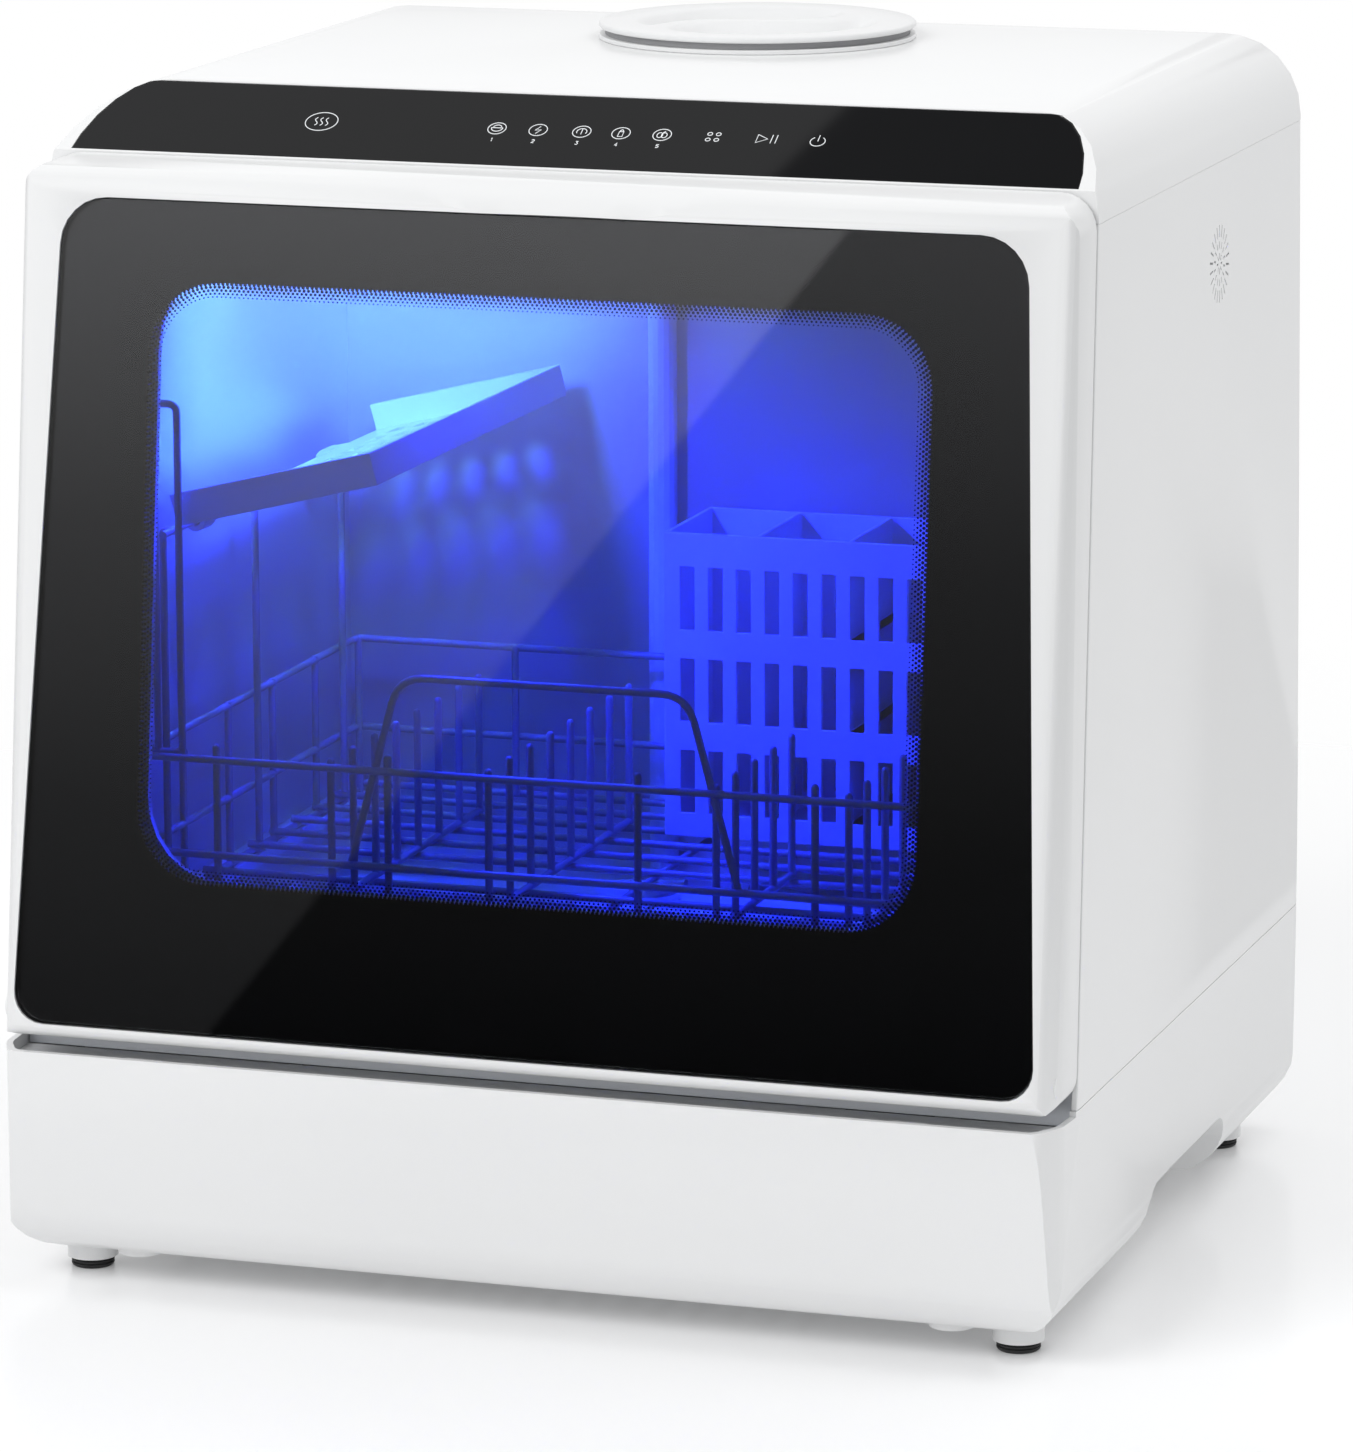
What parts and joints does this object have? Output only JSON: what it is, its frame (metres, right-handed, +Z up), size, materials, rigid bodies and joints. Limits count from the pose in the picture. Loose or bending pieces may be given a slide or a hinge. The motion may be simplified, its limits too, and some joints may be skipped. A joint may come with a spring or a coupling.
{
  "type": "countertop dishwasher",
  "caption": "Countertop dishwasher with a drop-down glass door, sloping control panel, top fill lid, wire rack, cup shelf, cutlery basket and spray arms.",
  "frame": {"origin": "on the table under the middle of the casing", "axes": "+Z up, door towards -Y, +X to the right as seen from the front"},
  "size_m": [0.43, 0.3878, 0.47],
  "materials": {
    "white_shell": "satin moulded",
    "white_cap": "satin moulded",
    "pale_plastic": "fine grain",
    "black_panel": "polished, printed behind",
    "door_glass": "tinted, polished",
    "clear_pane": "clear",
    "black_print": "printed border",
    "tub_steel": "satin",
    "bright_steel": "bright",
    "rack_coat": "smooth coating on wire",
    "shelf_plastic": "smooth",
    "pump_plastic": "moulded",
    "bowl_plastic": "moulded",
    "board_green": "circuit board",
    "tank_plastic": "translucent moulded",
    "valve_blue": "moulded",
    "hose_rubber": "matt",
    "seal_rubber": "matt",
    "foot_rubber": "ribbed, matt",
    "lamp_lens": "lit lens",
    "inlet_white": "moulded"
  },
  "bodies": {
    "cabinet": {"base_housing": "white_shell", "side_panel_left": "white_shell", "side_panel_right": "white_shell", "back_panel": "white_shell", "top_cover": "white_shell", "filler_neck": "white_shell", "foot_posts": "white_shell", "base_plate": "pale_plastic", "fan_housing": "pale_plastic", "control_glass": "black_panel", "tub": "tub_steel", "sill_plate": "tub_steel", "hinge_brackets": "bright_steel", "latch_catch": "bright_steel", "heater_ring": "bright_steel", "casing_screws": "bright_steel", "filter_plate": "bright_steel", "spray_pipe": "shelf_plastic", "rack_rails": "shelf_plastic", "wash_pump": "pump_plastic", "drain_pump": "pump_plastic", "cord_gland": "pump_plastic", "sump": "bowl_plastic", "drain_connector": "bowl_plastic", "control_board": "board_green", "water_tank": "tank_plastic", "inlet_valve": "valve_blue", "fill_hose": "hose_rubber", "wash_hose": "hose_rubber", "drain_hose": "hose_rubber", "door_seal": "seal_rubber", "foot_pads": "foot_rubber", "led_lamp": "lamp_lens", "inlet_connector": "inlet_white"},
    "door": {"door_frame": "white_shell", "door_glass": "door_glass", "glass_print": "black_print", "door_liner": "pale_plastic", "inner_window": "clear_pane", "hinge_pins": "bright_steel", "latch_tongue": "bright_steel", "door_screws": "bright_steel"},
    "rack": {"wire_rack": "rack_coat", "plate_tines": "rack_coat", "shelf_frame": "rack_coat", "shelf_loop": "rack_coat"},
    "shelf": {"cup_shelf": "shelf_plastic"},
    "basket": {"cutlery_basket": "shelf_plastic"},
    "lower_arm": {"lower_spray_arm": "shelf_plastic"},
    "upper_arm": {"upper_spray_arm": "shelf_plastic"},
    "lid_ring": {"lid_seal": "seal_rubber"},
    "lid": {"fill_lid": "white_cap"},
    "filter": {"filter_cup": "shelf_plastic"},
    "wash_rotor": {"wash_impeller": "pump_plastic"},
    "drain_rotor": {"drain_impeller": "pump_plastic"},
    "fan_rotor": {"drying_fan": "pump_plastic"}
  },
  "joints": [
    {"name": "door_hinge", "type": "hinge", "parent": "cabinet", "child": "door", "pos_m": [0, -0.17906, 0.1105], "axis": [1, 0, 0], "range_deg": [0, 96]},
    {"name": "rack_slide", "type": "slide", "parent": "cabinet", "child": "rack", "axis": [0, -1, 0], "range_m": [0, 0.0675]},
    {"name": "shelf_fold", "type": "hinge", "parent": "rack", "child": "shelf", "pos_m": [-0.1648, 0, 0.29], "axis": [0, -1, 0], "range_deg": [0, 66]},
    {"name": "basket_lift", "type": "slide", "parent": "rack", "child": "basket", "axis": [0, 0, 1], "range_m": [0, 0.09]},
    {"name": "lower_arm_spin", "type": "hinge", "parent": "cabinet", "child": "lower_arm", "pos_m": [0, -0.01931, 0.1265], "axis": [0, 0, 1], "continuous": true},
    {"name": "upper_arm_spin", "type": "hinge", "parent": "cabinet", "child": "upper_arm", "pos_m": [0, -0.01931, 0.3945], "axis": [0, 0, 1], "continuous": true},
    {"name": "lid_lift", "type": "slide", "parent": "cabinet", "child": "lid_ring", "axis": [0, 0, 1], "range_m": [0, 0.05]},
    {"name": "lid_turn", "type": "hinge", "parent": "lid_ring", "child": "lid", "pos_m": [0, 0.118, 0.468], "axis": [0, 0, 1], "range_deg": [0, 60]},
    {"name": "filter_lift", "type": "slide", "parent": "cabinet", "child": "filter", "axis": [0, 0, 1], "range_m": [0, 0.02]},
    {"name": "wash_pump_spin", "type": "hinge", "parent": "cabinet", "child": "wash_rotor", "pos_m": [0.084, -0.01931, 0.078], "axis": [1, 0, 0], "continuous": true},
    {"name": "drain_pump_spin", "type": "hinge", "parent": "cabinet", "child": "drain_rotor", "pos_m": [-0.092, -0.01931, 0.052], "axis": [1, 0, 0], "continuous": true},
    {"name": "fan_spin", "type": "hinge", "parent": "cabinet", "child": "fan_rotor", "pos_m": [0.184, 0.056, 0.387], "axis": [1, 0, 0], "continuous": true}
  ],
  "couplings": [
    {"joint": "rack_slide", "follows": "door_hinge", "m_per_rad": 0.04}
  ]
}
